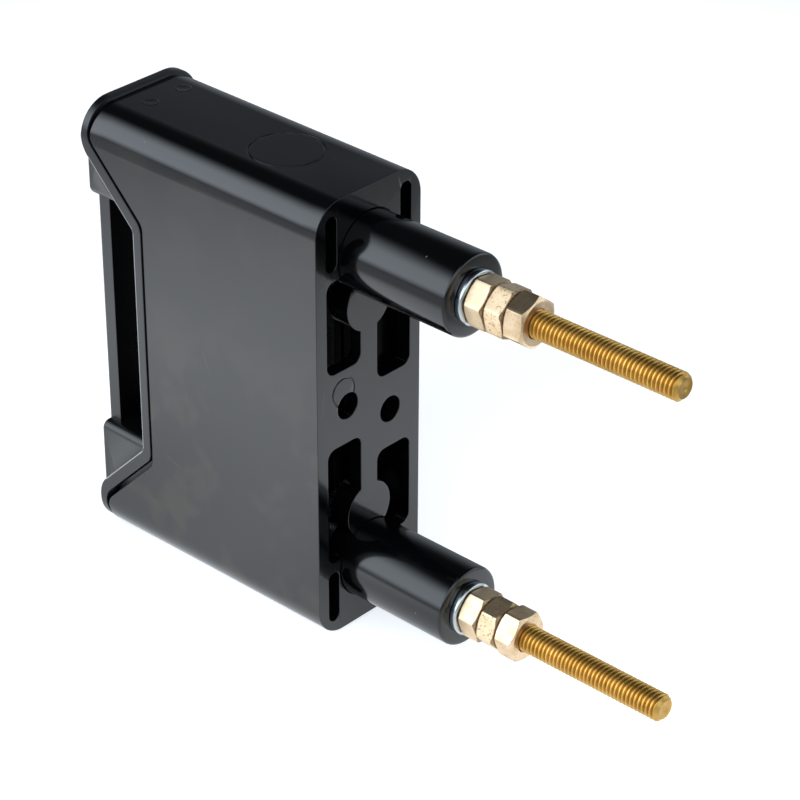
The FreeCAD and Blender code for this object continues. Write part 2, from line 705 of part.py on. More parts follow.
def make_flange(body):
    """Band bent round the notched mouth, then trimmed to the housing's rounded outline."""
    line = new_sketch(body, "flange_line", "YZ")
    reach = half_height + mm["flange_proud"]
    back_half = notch_half - mm["slant_gap"] + mm["floor_gap"] * mm["flare"]
    front_half = back_half + mm["flange_thickness"] * mm["flare"] - mm["flange_slant"]
    end_back = mm["mouth_depth"] + mm["end_gap"]
    end_front = end_back + mm["flange_end"]
    back_spread = back_half + (end_back - floor_back) * mm["flare"]
    front_spread = front_half + (end_front - floor_front) * mm["flare"]
    back_bend = mm["flange_bend"] - mm["flange_end"]
    half_band = [
        (end_back, mm["carrier_high"] + reach),
        (end_back, recess_middle + back_spread, back_bend),
        (floor_back, recess_middle + back_half, mm["notch_round"] * 1.2),
        (floor_back, recess_middle - back_half, mm["notch_round"] * 1.2),
        (end_back, recess_middle - back_spread, back_bend),
        (end_back, mm["carrier_high"] - reach),
        (end_front, mm["carrier_high"] - reach),
        (end_front, recess_middle - front_spread, mm["flange_bend"]),
        (floor_front, recess_middle - front_half, mm["notch_round"] * 0.6),
        (floor_front, recess_middle + front_half, mm["notch_round"] * 0.6),
        (end_front, recess_middle + front_spread, mm["flange_bend"]),
        (end_front, mm["carrier_high"] + reach),
    ]
    draw_line(line, [(-corner[0],) + corner[1:] for corner in half_band])
    wide = half_width + mm["flange_proud"]
    pad(body, line, wide * 2, both=True)

    trim = new_sketch(body, "flange_trim", "XZ", floor_back - 1)
    high = mm["carrier_high"]
    draw_box(trim, -(wide + 5), high - reach - 5, wide + 5, high + reach + 5)
    draw_box(trim, -wide, high - reach, wide, high + reach, mm["corner_radius"] + mm["flange_proud"])
    pocket(body, trim, backwards=True)


def make_skirt(body):
    """Box that slides in the housing, open at the back, with hollow end blocks in front."""
    corner = mm["corner_radius"] - mm["side_wall"] - mm["skirt_room"]
    outside = new_sketch(body, "skirt_outside", "XZ", mm["skirt_depth"])
    draw_box(outside, -skirt_half_width, -skirt_half_height, skirt_half_width, skirt_half_height, corner)
    pad(body, outside, grip_depth - mm["skirt_depth"])

    inside = new_sketch(body, "skirt_inside", "XZ", mm["skirt_depth"])
    inner_corner = corner - mm["skirt_wall"]
    draw_box(inside, -inner_half_width, -inner_half_height, inner_half_width, inner_half_height, inner_corner)
    pocket(body, inside, floor_back - mm["skirt_depth"], backwards=True)

    blocks = new_sketch(body, "block_hollows", "XZ", floor_back)
    top_low = recess_middle + recess_half + mm["skirt_wall"]
    foot_high = recess_middle - recess_half - mm["skirt_wall"]
    draw_box(blocks, -inner_half_width, top_low, inner_half_width, inner_half_height, inner_corner)
    draw_box(blocks, -inner_half_width, -inner_half_height, inner_half_width, foot_high, inner_corner)
    pocket(body, blocks, block_front - floor_back, backwards=True)

    seats = new_sketch(body, "seats", "XZ", mm["seat_depth"])
    wide = mm["blade_width"] / 2 + 1
    draw_box(seats, -wide, seat_foot, wide, seat_top)
    draw_box(seats, -wide, -seat_top, wide, -seat_foot)
    pad(body, seats, block_front - mm["seat_depth"] + 0.5)


def make_grip(body):
    """Finger recess from side to side, the web left in its middle, and the narrower grip bar."""
    recess = new_sketch(body, "recess", "YZ")
    top = recess_middle + recess_half
    foot = recess_middle - recess_half
    draw_box(recess, -bar_back, foot, -floor_front, top)
    pocket(body, recess, skirt_half_width * 2 + 0.2, both=True)

    web = new_sketch(body, "web", "XZ", floor_front - 0.5)
    draw_box(web, mm["web_width"] / -2, foot - 0.5, mm["web_width"] / 2, top + 0.5)
    pad(body, web, bar_back - floor_front + 1)

    sides = new_sketch(body, "bar_sides", "XZ", floor_front)
    for side in (1, -1):
        near_x, far_x = mm["bar_half"] * side, (skirt_half_width + 1) * side
        low_x, high_x = (near_x, far_x) if side > 0 else (far_x, near_x)
        draw_box(sides, low_x, foot, high_x, top)
    pocket(body, sides, backwards=True)


def make_contact_seats(body):
    """Nut pockets and screw holes in the two contact seats."""
    nuts = new_sketch(body, "nut_pockets", "XZ", mm["seat_depth"])
    holes = new_sketch(body, "screw_holes", "XZ", mm["seat_depth"])
    for turn in (1, -1):
        draw_line(nuts, hex_corners(mm["captive_flats"] + mm["captive_room"] * 2, y=clamp_up * turn))
        draw_circle(holes, 0, clamp_up * turn, mm["clamp_screw"] + mm["screw_room"] * 2)
        draw_circle(holes, 0, blade_screw_up * turn, mm["blade_screw"] + mm["thread_room"] * 2)
    pocket(body, nuts, mm["captive_height"] + mm["captive_room"], backwards=True)
    pocket(body, holes, mm["clamp_length"] - 1, backwards=True)


def make_blade(label, turned):
    """Bent strip: one arm lies on the seat under the fuse tag, the other reaches into the jaws."""
    body = new_body(label)
    side = new_sketch(body, label + "_side", "YZ")
    sheet = mm["blade_sheet"]
    inner = stud_up - sheet / 2
    outer = stud_up + sheet / 2
    start = seat_foot
    lead = mm["blade_lead"]
    draw_line(side, [
        (-mm["seat_depth"], start),
        (-mm["seat_depth"], outer, mm["blade_bend"] + sheet),
        (-mm["blade_depth"] - lead * 2, outer),
        (-mm["blade_depth"], outer - lead),
        (-mm["blade_depth"], inner + lead),
        (-mm["blade_depth"] - lead * 2, inner),
        (-tag_seat, inner, mm["blade_bend"]),
        (-tag_seat, start),
    ])
    pad(body, side, mm["blade_width"], both=True)
    holes = new_sketch(body, label + "_holes", "XZ", tag_seat)
    draw_circle(holes, 0, clamp_up, mm["clamp_screw"] + mm["screw_room"] * 2)
    draw_circle(holes, 0, blade_screw_up, mm["blade_screw"] + mm["screw_room"] * 2)
    pocket(body, holes, sheet, backwards=True)
    put(body, turned=turned)


def make_screw(label, seat, head, head_height, thread, length, at, turned):
    """Cheese-headed screw that points to the front, with a screwdriver slot."""
    body = new_body(label)
    top = new_sketch(body, label + "_head", "XZ", seat)
    draw_circle(top, 0, 0, head)
    pad(body, top, head_height, backwards=True)
    shank = new_sketch(body, label + "_shank", "XZ", seat)
    draw_circle(shank, 0, 0, thread)
    pad(body, shank, length)
    slot = new_sketch(body, label + "_slot", "XZ", seat - head_height)
    reach = head / 2 + 1
    draw_box(slot, -reach, mm["driver_slot"] / -2, reach, mm["driver_slot"] / 2)
    pocket(body, slot, head_height * 0.55, backwards=True)
    ease("Chamfer", body, label + "_tip", mm["tip_bevel"] / 2, lambda p: near(p.y, -(seat + length)))
    put(body, -at if turned else at, turned)


def make_spring_washer(label, turned):
    """Split ring under the head of the clamping screw."""
    body = new_body(label)
    ring = new_sketch(body, label + "_ring", "XZ", clamp_seat)
    draw_circle(ring, 0, 0, mm["spring_washer_width"])
    draw_circle(ring, 0, 0, mm["clamp_screw"] + mm["thread_room"] * 2)
    pad(body, ring, mm["spring_washer"])
    split = new_sketch(body, label + "_split", "XZ", clamp_seat)
    reach = mm["spring_washer_width"] / 2 + 1
    draw_box(split, mm["clamp_screw"] / 4, mm["spring_washer"] / -4, reach, mm["spring_washer"] / 4)
    pocket(body, split, backwards=True)
    put(body, -clamp_up if turned else clamp_up, turned)


def make_clamp(end, turned):
    """Screw, spring washer and captive nut that hold one fuse tag on its blade."""
    at = -clamp_up if turned else clamp_up
    make_screw(end + "_clamp_screw", clamp_seat, mm["clamp_head"], mm["clamp_head_height"],
               mm["clamp_screw"], mm["clamp_length"], clamp_up, turned)
    make_spring_washer(end + "_spring_washer", turned)
    nut_start = -(mm["seat_depth"] + mm["captive_height"])
    nut_bore = mm["clamp_screw"] + mm["thread_room"] * 2
    flats = mm["captive_flats"]
    make_nut(end + "_captive_nut", nut_start, mm["captive_height"], flats, nut_bore, at, bevelled=False)
    make_screw(end + "_blade_screw", tag_seat, mm["blade_screw_head"], mm["blade_head_height"],
               mm["blade_screw"], mm["blade_screw_length"], blade_screw_up, turned)


# Fuse link


def make_fuse_barrel():
    """Ceramic tube, its axis along the housing's height."""
    body = new_body("fuse_barrel")
    ring = new_sketch(body, "barrel_ring", "XY")
    outside = mm["cap_diameter"] - (mm["cap_sheet"] + mm["cap_room"]) * 2
    draw_circle(ring, 0, 0, outside)
    draw_circle(ring, 0, 0, outside - mm["barrel_wall"] * 2)
    pad(body, ring, (cap_end - mm["cap_sheet"]) * 2, both=True)
    put(body, depth=mm["fuse_depth"])


def make_fuse_cap(label, turned):
    """Pressed brass cup over the barrel's end."""
    body = new_body(label)
    disc = new_sketch(body, label + "_disc", "XY", cap_start)
    draw_circle(disc, 0, 0, mm["cap_diameter"])
    pad(body, disc, mm["cap_height"])
    hollow = new_sketch(body, label + "_hollow", "XY", cap_start)
    draw_circle(hollow, 0, 0, mm["cap_diameter"] - mm["cap_sheet"] * 2)
    pocket(body, hollow, mm["cap_height"] - mm["cap_sheet"], backwards=True)
    ease("Chamfer", body, label + "_edge", mm["cap_sheet"] * 0.8,
         lambda p: near(p.z, cap_end) and near(math.hypot(p.x, p.y), mm["cap_diameter"] / 2))
    put(body, turned=turned, depth=mm["fuse_depth"])


def make_fuse_tag(label, turned):
    """Bent copper tag: the upright is welded to the cap, the foot lies on the blade."""
    body = new_body(label)
    side = new_sketch(body, label + "_side", "YZ")
    sheet = mm["tag_sheet"]
    top = mm["fuse_depth"] - mm["tag_rise"]
    draw_line(side, [
        (-top, cap_end),
        (-tag_seat, cap_end, sheet * 1.5),
        (-tag_seat, clamp_up + mm["tag_reach"]),
        (-tag_top, clamp_up + mm["tag_reach"]),
        (-tag_top, cap_end + sheet, sheet * 0.5),
        (-top, cap_end + sheet),
    ])
    pad(body, side, mm["tag_width"], both=True)
    hole = new_sketch(body, label + "_hole", "XZ", tag_top)
    wide = mm["clamp_screw"] + mm["screw_room"] * 2
    draw_slot(hole, 0, clamp_up - wide / 2 - 0.5, clamp_up + wide / 2 + 0.5, wide)
    pocket(body, hole, sheet, backwards=True)
    put(body, turned=turned)


def make_fuse_element():
    """Notched strip inside the barrel that melts on a fault."""
    body = new_body("fuse_element")
    strip = new_sketch(body, "element_strip", "XZ", mm["element_sheet"] / -2)
    half = cap_end - mm["cap_sheet"]
    draw_box(strip, mm["element_width"] / -2, -half, mm["element_width"] / 2, half)
    pad(body, strip, mm["element_sheet"])
    necks = new_sketch(body, "element_necks", "XZ", mm["element_sheet"] / -2)
    edge = mm["element_width"] / 2
    for step in (-1, 0, 1):
        low, high = half / 2 * step - mm["element_neck"] / 2, half / 2 * step + mm["element_neck"] / 2
        draw_box(necks, mm["element_neck"] / 2, low, edge + 1, high)
        draw_box(necks, -edge - 1, low, mm["element_neck"] / -2, high)
    pocket(body, necks, backwards=True)
    put(body, depth=mm["fuse_depth"])


def make_all():
    """Build every sub-part in order, from the back to the front."""
    make_base_moulding()
    for end, up in (("upper", stud_up), ("lower", -stud_up)):
        make_stud_set(end, up)
        make_fixed_contact(end, up)
    make_carrier_moulding()
    make_fuse_barrel()
    make_fuse_element()
    for end, turned in (("upper", False), ("lower", True)):
        make_blade(end + "_contact_blade", turned)
        make_clamp(end, turned)
        make_fuse_cap(end + "_fuse_cap", turned)
        make_fuse_tag(end + "_fuse_tag", turned)


def sub_parts():
    """The finished sub-parts: every body, and the bent strips."""
    strips = [thing for thing in doc.Objects if thing.TypeId == "Part::Cut"]
    bodies = [thing for thing in doc.Objects if thing.TypeId == "PartDesign::Body"]
    return bodies + strips


def check_all():
    """Stop if any object failed, or a sub-part has no sound solid."""
    doc.recompute()
    for thing in doc.Objects:
        if "Invalid" in thing.State or "Error" in thing.State:
            raise RuntimeError(thing.Name + " failed: " + ", ".join(thing.State))
    for part in sub_parts():
        shape = part.Shape
        if shape.isNull() or not shape.isValid() or len(shape.Solids) != 1:
            raise RuntimeError(part.Label + " has no single sound solid")


def export_all():
    """Write each sub-part to its own file and print its size."""
    for part in sub_parts():
        part.Shape.exportStep("parts/" + part.Label + ".step")
        box = part.Shape.BoundBox
        print("%-26s %9.1f mm3  %6.1f %6.1f %6.1f" % (
            part.Label, part.Shape.Volume, box.XLength, box.YLength, box.ZLength))


make_all()
check_all()
export_all()
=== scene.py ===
# %% [markdown]
# # A back-stud fuse holder, dressed for its photograph
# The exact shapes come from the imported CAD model. It is loaded first and never moved. This
# notebook adds what a CAD solid leaves out: screw threads, nut corners, finishes, light and a
# camera. Everything is in metres: +Y is the way the studs point, +Z is up, and the origin is the
# middle of the mounting face.

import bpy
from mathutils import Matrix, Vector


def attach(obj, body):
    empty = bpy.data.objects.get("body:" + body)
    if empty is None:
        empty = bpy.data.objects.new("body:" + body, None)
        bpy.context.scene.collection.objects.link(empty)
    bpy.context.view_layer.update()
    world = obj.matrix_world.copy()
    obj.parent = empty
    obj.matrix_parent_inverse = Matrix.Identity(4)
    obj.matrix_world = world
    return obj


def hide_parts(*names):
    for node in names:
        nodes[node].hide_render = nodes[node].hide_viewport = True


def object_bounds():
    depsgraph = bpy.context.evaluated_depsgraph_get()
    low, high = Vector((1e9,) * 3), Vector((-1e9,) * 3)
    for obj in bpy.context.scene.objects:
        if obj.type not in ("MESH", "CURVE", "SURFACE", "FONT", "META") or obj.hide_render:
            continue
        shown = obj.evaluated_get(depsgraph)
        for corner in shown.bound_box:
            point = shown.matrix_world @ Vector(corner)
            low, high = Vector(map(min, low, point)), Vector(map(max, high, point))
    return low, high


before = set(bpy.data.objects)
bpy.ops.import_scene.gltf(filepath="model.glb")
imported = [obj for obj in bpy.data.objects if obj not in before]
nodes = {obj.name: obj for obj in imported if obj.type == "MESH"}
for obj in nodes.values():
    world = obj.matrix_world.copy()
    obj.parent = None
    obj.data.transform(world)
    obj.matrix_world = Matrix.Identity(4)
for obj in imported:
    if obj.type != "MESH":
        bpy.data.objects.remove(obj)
cad_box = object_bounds()
print("CAD box", [[round(number, 4) for number in corner] for corner in cad_box])

# %% Names used all the way through
import math

import bmesh
import bpy
from mathutils import Matrix, Vector

MM = 0.001
scene = bpy.context.scene

# %% [markdown]
# ## The camera
# The photograph was taken from far away with a long lens, from behind, above and to the right of
# the holder. A camera has three axes. Given the point that it stands at and three unit vectors,
# its matrix can be written down directly, which is more exact than turning it by hand.

# %% Camera
EYE = Vector((0.38190, 0.35776, 0.31497))
RIGHT = Vector((-0.67651, 0.73642, 0.00426))
DOWN = Vector((0.37571, 0.35010, -0.85806))
FOCAL_PIXELS = 2917.0
FRAME_PIXELS = 800


def add_camera(eye, right, down, focal):
    """A camera from the place of its lens and the directions of its picture's two sides."""
    camera = bpy.data.objects.new("camera", bpy.data.cameras.new("camera"))
    scene.collection.objects.link(camera)
    ahead = right.cross(down).normalized()
    turn = Matrix((right.normalized(), -down.normalized(), -ahead)).transposed().to_4x4()
    camera.matrix_world = Matrix.Translation(eye) @ turn
    camera.data.sensor_width = 36.0
    camera.data.lens = 36.0 * focal / FRAME_PIXELS
    camera.data.clip_start = 0.01
    scene.camera = camera
    return camera


camera = add_camera(EYE, RIGHT, DOWN, FOCAL_PIXELS)
print("lens", round(camera.data.lens, 1), "mm")

# %% [markdown]
# ## Writing shader maths as sums
# A material is a graph of small nodes, and most of them do arithmetic. The class below wraps a
# socket so that `1 - mask` or `noise * 0.3` adds the right node by itself. Everything else comes
# from one method, `node`, which takes the node's type, its sockets and its settings.

# %% Shader helpers
class Signal:
    """One output of a shader graph that can be used in sums."""

    def __init__(self, graph, socket):
        self.graph = graph
        self.socket = socket

    def __add__(self, other):
        return self.graph.maths("ADD", self, other)

    def __sub__(self, other):
        return self.graph.maths("SUBTRACT", self, other)

    def __rsub__(self, other):
        return self.graph.maths("SUBTRACT", other, self)

    def __mul__(self, other):
        return self.graph.maths("MULTIPLY", self, other)

    __radd__ = __add__
    __rmul__ = __mul__


class Graph:
    """Node graph of a material or of the world."""

    def __init__(self, tree):
        self.tree = tree
        tree.nodes.clear()

    def node(self, kind, sockets=None, out=0, **settings):
        """Add a node: settings first, then values or links of its sockets. Returns one output."""
        made = self.tree.nodes.new("ShaderNode" + kind)
        for name, value in settings.items():
            setattr(made, name, value)
        for name, value in (sockets or {}).items():
            self.plug(made.inputs[name], value)
        return Signal(self, made.outputs[out])

    def plug(self, socket, value):
        """Give a socket a link or a plain value."""
        if isinstance(value, Signal):
            self.tree.links.new(value.socket, socket)
        elif isinstance(value, tuple) and socket.type == "RGBA":
            socket.default_value = (*value[:3], 1.0)
        else:
            socket.default_value = value

    def maths(self, operation, *values):
        """A Math node on numbers or signals."""
        return self.node("Math", dict(enumerate(values)), operation=operation)

    def vector(self, operation, *values, out=0):
        """A Vector Math node. Output 0 is its vector and output 1 its number."""
        return self.node("VectorMath", dict(enumerate(values)), out=out, operation=operation)

    def axis(self, place, name):
        """The x, y or z of a place."""
        return self.node("SeparateXYZ", {0: place}, out="xyz".index(name))

    def capped(self, signal):
        """A signal that goes no higher than 1."""
        return self.maths("MINIMUM", signal, 1.0)

    def between(self, signal, low, high):
        """0 below low, 1 above high and a smooth step between the two."""
        return self.node("MapRange", {"Value": signal, "From Min": low, "From Max": high},
                         interpolation_type="SMOOTHSTEP")

    def blend(self, factor, first, second):
        """First colour where the factor is 0, second where it is 1."""
        return self.node("Mix", {0: factor, 6: first, 7: second}, out=2, data_type="RGBA")

    def noise(self, place, scale, detail=2.0, roughness=0.5):
        """Soft random pattern, from 0 to 1, with a number of features per metre."""
        return self.node("TexNoise", {"Vector": place, "Scale": scale, "Detail": detail,
                                      "Roughness": roughness})


print("helpers ready")

# %% [markdown]
# ## One recipe for every surface
# Every finish here is a Principled shader whose colour and roughness vary a little over the
# surface. Fine relief goes through one Bump node. The Bevel node in front of it rounds the look
# of sharp edges by a fraction of a millimetre, as every moulded or turned edge really is, so that
# each edge catches a thin line of light.

# %% Material builder
SURFACES = {}


def surface(name, edge, **fixed):
    """A material with a Principled shader. Returns its graph, its shader node and coordinates."""
    material = bpy.data.materials.new(name)
    material.use_nodes = True
    graph = Graph(material.node_tree)
    shader = material.node_tree.nodes.new("ShaderNodeBsdfPrincipled")
    output = material.node_tree.nodes.new("ShaderNodeOutputMaterial")
    material.node_tree.links.new(shader.outputs[0], output.inputs[0])
    for socket, value in fixed.items():
        shader.inputs[socket.replace("_", " ")].default_value = value
    place = graph.node("TexCoord", out=3)
    graph.rounded = graph.node("Bevel", {"Radius": edge}, samples=4)
    graph.shader = shader
    SURFACES[name] = material
    return graph, place


def finish(graph, colour, roughness, relief=None, depth=0.0):
    """Connect what varies over the surface: colour, roughness and relief."""
    graph.plug(graph.shader.inputs["Base Color"], colour)
    graph.plug(graph.shader.inputs["Roughness"], roughness)
    normal = graph.rounded
    if relief is not None:
        normal = graph.node("Bump", {"Height": relief, "Strength": 1.0, "Distance": depth,
                                     "Normal": graph.rounded})
    graph.plug(graph.shader.inputs["Normal"], normal)


print("material builder ready")

# %% [markdown]
# ## Black moulded plastic
# The housing, the shrouds and the carrier are pressed from a black thermoset. It is almost a
# mirror with no colour of its own: what looks grey in the photograph is the studio. So the base
# colour is nearly black, and the interest is in the surface: a slow waviness from the mould, dull
# smears, a few specks of pale dust and, on the housing, ten short hair scratches at listed places
# and a faint brown film on the side that the photograph shows. The edges of the carrier's flange
# carry a painted highlight, a thin pale line.

# %% Marks on the plastic
def specks(graph, place, spacing, size, share):
    """Scattered dots: 1 inside a dot, on a share of the cells of a grid that many to the metre."""
    cell = {"Vector": place, "Scale": spacing, "Randomness": 1.0}
    reach = graph.node("TexVoronoi", cell, out=0)
    tint = graph.node("TexVoronoi", cell, out=1)
    chosen = graph.node("SeparateColor", {0: tint}, out=0)
    inside = 1 - graph.between(reach, size * 0.5, size)
    return inside * graph.between(chosen, 1 - share, 1 - share * 0.9)


def near_line(graph, place, start, end):
    """Share of the way along a line between two points in millimetres, and distance from it."""
    along = Vector(end) - Vector(start)
    away = graph.vector("ADD", place, tuple(Vector(start) * -MM))
    share = graph.vector("DOT_PRODUCT", away, tuple(along / (along.length_squared * MM)), out=1)
    share = graph.capped(graph.maths("MAXIMUM", share, 0.0))
    foot = graph.node("VectorMath", {0: tuple(along * MM), "Scale": share}, operation="SCALE")
    return share, graph.vector("DISTANCE", away, foot, out=1)


def hairlines(graph, place, lines):
    """Fine straight scratches between pairs of points in millimetres, faded at both ends."""
    total = 0.0
    for start, end in lines:
        share, apart = near_line(graph, place, start, end)
        total = (1 - graph.between(apart, 0.02 * MM, 0.10 * MM)) * share * (1 - share) * 4.0 + total
    return total


def painted_edge_highlight(graph, place, corners):
    """Painted highlight: a pale line along an edge through corners in millimetres."""
    total = 0.0
    for start, end in zip(corners, corners[1:]):
        apart = near_line(graph, place, start, end)[1]
        total = (1 - graph.between(apart, 0.12 * MM, 0.34 * MM)) + total
    return graph.capped(total)


def side_film(graph, place):
    """Blotches of a thin film on the broad side at +X, mostly low on it."""
    blots = graph.between(graph.noise(place, 62.0, 3.0, 0.6), 0.49, 0.63)
    low = 1 - graph.between(graph.axis(place, "z"), -14.0 * MM, 22.0 * MM) * 0.7
    return blots * low * graph.between(graph.axis(place, "x"), 15.3 * MM, 15.5 * MM)


def mould_rings(graph, place):
    """Two small raised rings that the mould's ejector pins left beside the mouth, on top."""
    total = 0.0
    for x, y in ((-6.0, -59.8), (3.5, -59.8)):
        away = graph.vector("ADD", place, (-x * MM, -y * MM, 0.0))
        flat = graph.vector("MULTIPLY", away, (1.0, 1.0, 0.0))
        reach = graph.vector("LENGTH", flat, out=1)
        ring = 1 - graph.between(graph.maths("ABSOLUTE", reach - 1.5 * MM), 0.12 * MM, 0.32 * MM)
        dip = 1 - graph.between(reach, 0.3 * MM, 0.9 * MM)
        total = ring - dip * 0.5 + total
    return total * graph.between(graph.axis(place, "z"), 51.0 * MM, 51.4 * MM) * 0.05


print("marks ready")

# %% Black mouldings
PLASTIC = (0.0010, 0.0011, 0.0014)
DUST = (0.10, 0.10, 0.095)
# Colour of the carrier's painted edge highlight, which its dust specks also take.
HIGHLIGHT_AND_DUST_GREY = (0.34, 0.34, 0.33)
FILM = (0.0120, 0.0092, 0.0050)
SCRATCHES = [((15.8, -34, 8), (15.8, -31, 1)), ((15.8, -47, -24), (15.8, -41, -26)),
             ((15.8, -12, 33), (15.8, -9, 35.5)), ((15.8, -22, -40), (15.8, -17, -38.5)),
             ((-15.8, -30, 20), (-15.8, -26, 12)), ((-15.8, -44, -33), (-15.8, -38, -30)),
             ((2, -50, 52), (7, -47, 52)), ((-6, -18, 52), (-3, -11, 52)),
             ((13.5, 0, 10), (14.3, 0, 3)), ((-9, -33, -52), (-4, -24, -52))]
FLANGE_SIDE = 16.25
FLANGE_EDGE = [(-66.31, 41.76), (-53.83, 29.28), (-53.3, 28.0),
               (-53.3, -25.0), (-53.83, -26.28), (-66.31, -38.76)]


def black_moulding(name, gloss, wave, housing=False, edges=()):
    """Black thermoset. gloss is the roughness, wave the depth of the mould's waviness."""
    graph, place = surface(name, 0.15 * MM, IOR=1.5)
    smear = graph.noise(place, 45.0, 3.0, 0.6)
    fine = graph.noise(place, 2600.0, 2.0)
    pale_marks_and_highlight = specks(graph, place, 210.0, 0.07, 0.10) * 0.7
    if housing:
        pale_marks_and_highlight = graph.capped(pale_marks_and_highlight + hairlines(graph, place, SCRATCHES) * 0.5)
    # On the carrier: a painted highlight, a pale line along the flange's edges.
    for corners in edges:
        pale_marks_and_highlight = graph.capped(painted_edge_highlight(graph, place, corners) * (smear + 0.3) + pale_marks_and_highlight)
    colour = graph.blend(pale_marks_and_highlight, PLASTIC, HIGHLIGHT_AND_DUST_GREY if edges else DUST)
    roughness = smear * 0.10 + fine * 0.03 + pale_marks_and_highlight * 0.25 + (gloss - 0.06)
    relief = graph.noise(place, 28.0, 1.0) * wave + fine * 0.0010 + pale_marks_and_highlight * 0.01
    if housing:
        film = side_film(graph, place)
        colour = graph.blend(film, colour, FILM)
        roughness = roughness + film * 0.06
        relief = relief + mould_rings(graph, place)
    finish(graph, colour, roughness, relief, 1.0 * MM)


black_moulding("housing_black", 0.11, 0.030, housing=True)
black_moulding("shroud_black", 0.12, 0.012)
# The carrier's flange edges get a painted highlight.
black_moulding("carrier_black", 0.28, 0.015, edges=[
    [(side, y, z) for y, z in FLANGE_EDGE] for side in (FLANGE_SIDE, -FLANGE_SIDE)])
print("black mouldings made")

# %% [markdown]
# ## Brass, zinc and the other metals
# The studs are deep yellow rolled brass, which the rolling dies leave burnished. The nuts are
# turned from paler bar: their facets carry fine drawn lines along the bar and, on the middle nut,
# a scatter of brown spots. Painted shade darkens the brass where two nuts meet, most at the
# corners, and the outer nuts get a darker, browner copy of the brass, which is painted shade, with
# more tarnish. A metal is Principled with Metallic at 1, so its colour is the colour of its
# reflections.

# %% Metals
STUD_UP = {"upper": 37.3, "lower": -37.3}
SPOT_SHADE = (0.40, 0.34, 0.26)
# Colour of the painted shade where two nuts meet.
SEAM_SHADE_TONE = (0.26, 0.19, 0.13)


def painted_seam_shade(graph, place, planes):
    """Painted shade where two nuts meet, at places along the studs in millimetres, most of it at
    corners.
    """
    across = graph.axis(place, "x")
    height = graph.maths("ABSOLUTE", graph.axis(place, "z")) - STUD_UP["upper"] * MM
    reach = graph.maths("SQRT", across * across + height * height)
    corner = graph.between(reach, 5.1 * MM, 5.6 * MM)
    along = graph.axis(place, "y")
    total = 0.0
    for plane in planes:
        apart = graph.maths("ABSOLUTE", along - plane * MM) - corner * 0.15 * MM
        total = (1 - graph.between(apart, 0.12 * MM, 0.60 * MM)) + total
    return total * (corner * 0.7 + 0.9)


def shaded(colour, shade):
    """A colour times a shade, channel by channel."""
    return tuple(value * factor for value, factor in zip(colour, shade))


def metal(name, edge, pale, deep, rough, lines, line_scale, tarnish, seam_planes=()):
    """A metal that drifts between two tones, with drawn lines, tarnish spots and painted shade at the
    seams.
    """
    graph, place = surface(name, edge * MM, Metallic=1.0)
    drift = graph.noise(place, 220.0, 3.0, 0.6)
    drawn = graph.noise(graph.vector("MULTIPLY", place, lines), line_scale, 2.0, 0.7)
    spots = graph.between(graph.noise(place, 1700.0, 3.0, 0.65), 0.54, 0.66) * tarnish
    colour = graph.blend(graph.between(drift, 0.3, 0.7), pale, deep)
    colour = graph.blend(spots, colour, shaded(deep, SPOT_SHADE))
    # Painted shade where two nuts meet, most at the corners.
    if seam_planes:
        seam_shade_mask = graph.capped(painted_seam_shade(graph, place, seam_planes) * (drawn + 0.45))
        colour = graph.blend(seam_shade_mask, colour, shaded(deep, SEAM_SHADE_TONE))
        spots = graph.maths("MAXIMUM", spots, seam_shade_mask)
    roughness = drawn * 0.16 + drift * 0.06 + spots * 0.2 + (rough - 0.11)
    finish(graph, colour, roughness, drawn + spots * -0.6, 0.004 * MM)


# Name, rounding of edges in mm, pale and deep tone, roughness, direction of the drawn lines,
# their number per metre, share of tarnish and places of painted seam shade along the studs in mm.
EVERY_WAY, ALONG_STUD, ALONG_STRIP = (1, 1, 1), (1, 0.06, 1), (1, 0.1, 1)
UPRIGHT, ROUND_CAP = (1, 1, 0.1), (0.05, 0.05, 1)
METALS = (
    ("stud_brass", 0.05, (0.59, 0.365, 0.100), (0.49, 0.285, 0.065), 0.40, EVERY_WAY, 900.0, 0.25),
    ("nut_brass", 0.12, (0.79, 0.62, 0.42), (0.67, 0.51, 0.32), 0.43, ALONG_STUD, 1500.0, 0.15,
     (30.0, 35.0, 40.0)),
    # Painted shade: the outer nuts' brass is a darker, browner copy of the nut brass, with more tarnish.
    ("nut_brass_browned", 0.12, (0.79, 0.60, 0.40), (0.60, 0.43, 0.25), 0.34, ALONG_STUD, 1500.0, 0.30,
     (40.0,)),
    ("nut_brass_spotted", 0.12, (0.80, 0.61, 0.41), (0.66, 0.49, 0.30), 0.43, ALONG_STUD, 1500.0, 0.80,
     (35.0, 40.0)),
    ("zinc_plate", 0.10, (0.52, 0.56, 0.58), (0.40, 0.44, 0.46), 0.22, EVERY_WAY, 700.0, 0.0),
    ("screw_brass", 0.08, (0.84, 0.66, 0.34), (0.74, 0.56, 0.26), 0.30, EVERY_WAY, 900.0, 0.3),
    ("cap_brass", 0.15, (0.82, 0.70, 0.42), (0.76, 0.62, 0.34), 0.20, ROUND_CAP, 900.0, 0.1),
    ("tinned_copper", 0.08, (0.84, 0.82, 0.78), (0.76, 0.73, 0.68), 0.30, ALONG_STRIP, 700.0, 0.15),
    ("spring_steel", 0.08, (0.58, 0.59, 0.62), (0.48, 0.49, 0.52), 0.28, ALONG_STRIP, 900.0, 0.1),
    ("silver", 0.03, (0.90, 0.89, 0.87), (0.84, 0.83, 0.80), 0.22, UPRIGHT, 900.0, 0.0),
)
for recipe in METALS:
    metal(*recipe)
print(len(METALS), "metals made")

# %% [markdown]
# The fuse link's barrel is glazed ceramic: off-white, with a clear glassy skin and a few dark
# points from the clay. Only the skin is glossy, so it gets a coat over a duller body.

